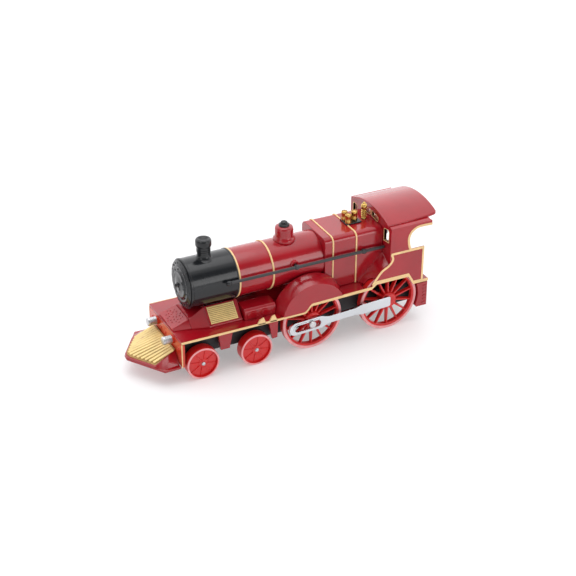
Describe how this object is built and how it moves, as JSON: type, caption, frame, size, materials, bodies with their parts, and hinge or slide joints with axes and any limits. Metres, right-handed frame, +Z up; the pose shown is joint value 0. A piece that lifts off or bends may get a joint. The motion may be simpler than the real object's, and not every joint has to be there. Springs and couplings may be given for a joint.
{
  "type": "toy steam locomotive",
  "caption": "Die-cast toy steam locomotive with spoked driving wheels, coupling rods, slatted pilot, open cab and a pull-back spring motor.",
  "frame": {"origin": "middle of the overall box, on the ground under the wheels", "axes": "+X forward to the pilot, +Y to the locomotive's left, +Z up"},
  "size_m": [0.1948, 0.0578, 0.0768],
  "materials": {
    "red_enamel": "gloss enamel over die-cast metal",
    "gold_paint": "satin gold paint",
    "black_enamel": "gloss black",
    "brass": "polished",
    "grey_plastic": "satin dark grey",
    "black_plastic": "satin black",
    "plated_silver": "bright plating",
    "steel": "bright",
    "red_plastic": "gloss, with a white-pink tread ring",
    "white_nylon": "natural"
  },
  "bodies": {
    "locomotive": {"running_plate": "red_enamel", "buffer_beam": "red_enamel", "buffer_left": "plated_silver", "buffer_right": "plated_silver", "pilot_frame": "red_enamel", "pilot_plate": "gold_paint", "smokebox_saddle": "red_enamel", "grille_left": "gold_paint", "grille_right": "gold_paint", "cylinder_block_left": "red_enamel", "cylinder_block_right": "red_enamel", "splasher_left": "red_enamel", "splasher_right": "red_enamel", "rear_steps": "red_enamel", "boiler_barrel": "red_enamel", "smokebox": "black_enamel", "smokebox_door": "black_enamel", "chimney": "black_enamel", "steam_dome": "red_enamel", "dome_cap": "black_enamel", "firebox": "red_enamel", "handrail_left": "grey_plastic", "handrail_right": "grey_plastic", "safety_valves": "brass", "whistle": "brass", "cab_body": "red_enamel", "cab_roof": "red_enamel", "backhead": "black_enamel", "reversing_lever": "black_enamel", "chassis_base": "black_plastic", "body_screw_1": "steel", "body_screw_2": "steel", "body_screw_3": "steel", "motor_case_left": "black_plastic", "motor_case_right": "black_plastic"},
    "rear_driving_wheelset": {"rear_driving_axle": "steel", "rear_driving_wheel_left": "red_plastic", "rear_driving_wheel_right": "red_plastic", "rear_crank_pin_left": "plated_silver", "rear_crank_pin_right": "plated_silver", "axle_pinion": "white_nylon"},
    "front_driving_wheelset": {"front_driving_axle": "steel", "front_driving_wheel_left": "red_plastic", "front_driving_wheel_right": "red_plastic", "front_crank_pin_left": "plated_silver", "front_crank_pin_right": "plated_silver"},
    "front_bogie_wheelset": {"front_bogie_axle": "steel", "front_bogie_wheel_left": "red_plastic", "front_bogie_wheel_right": "red_plastic"},
    "rear_bogie_wheelset": {"rear_bogie_axle": "steel", "rear_bogie_wheel_left": "red_plastic", "rear_bogie_wheel_right": "red_plastic"},
    "rod_left": {"coupling_rod_left": "plated_silver"},
    "rod_right": {"coupling_rod_right": "plated_silver"},
    "compound_gear": {"compound_gear": "white_nylon"},
    "spring_gear": {"spring_gear": "white_nylon", "mainspring": "steel"}
  },
  "joints": [
    {"name": "rear_driving_spin", "type": "hinge", "parent": "locomotive", "child": "rear_driving_wheelset", "pos_m": [-0.06411, 0, 0.01945], "axis": [0, 1, 0], "continuous": true},
    {"name": "front_driving_spin", "type": "hinge", "parent": "locomotive", "child": "front_driving_wheelset", "pos_m": [-0.01223, 0, 0.01945], "axis": [0, 1, 0], "continuous": true},
    {"name": "front_bogie_spin", "type": "hinge", "parent": "locomotive", "child": "front_bogie_wheelset", "pos_m": [0.05956, 0, 0.0101], "axis": [0, 1, 0], "continuous": true},
    {"name": "rear_bogie_spin", "type": "hinge", "parent": "locomotive", "child": "rear_bogie_wheelset", "pos_m": [0.02556, 0, 0.0101], "axis": [0, 1, 0], "continuous": true},
    {"name": "rod_left_pivot", "type": "hinge", "parent": "rear_driving_wheelset", "child": "rod_left", "pos_m": [-0.06201, 0.0263, 0.01885], "axis": [0, 1, 0], "continuous": true},
    {"name": "rod_right_pivot", "type": "hinge", "parent": "rear_driving_wheelset", "child": "rod_right", "pos_m": [-0.06201, -0.0263, 0.01885], "axis": [0, 1, 0], "continuous": true},
    {"name": "compound_gear_spin", "type": "hinge", "parent": "locomotive", "child": "compound_gear", "pos_m": [-0.05459, 0, 0.02311], "axis": [0, 1, 0], "continuous": true},
    {"name": "spring_gear_spin", "type": "hinge", "parent": "locomotive", "child": "spring_gear", "pos_m": [-0.04439, 0, 0.02311], "axis": [0, 1, 0], "continuous": true, "deforming": ["mainspring"]}
  ],
  "couplings": [
    {"joint": "front_driving_spin", "follows": "rear_driving_spin", "ratio": 1},
    {"joint": "rod_left_pivot", "follows": "rear_driving_spin", "ratio": -1},
    {"joint": "rod_right_pivot", "follows": "rear_driving_spin", "ratio": -1},
    {"joint": "compound_gear_spin", "follows": "rear_driving_spin", "ratio": -0.41667},
    {"joint": "spring_gear_spin", "follows": "rear_driving_spin", "ratio": 0.17361}
  ]
}
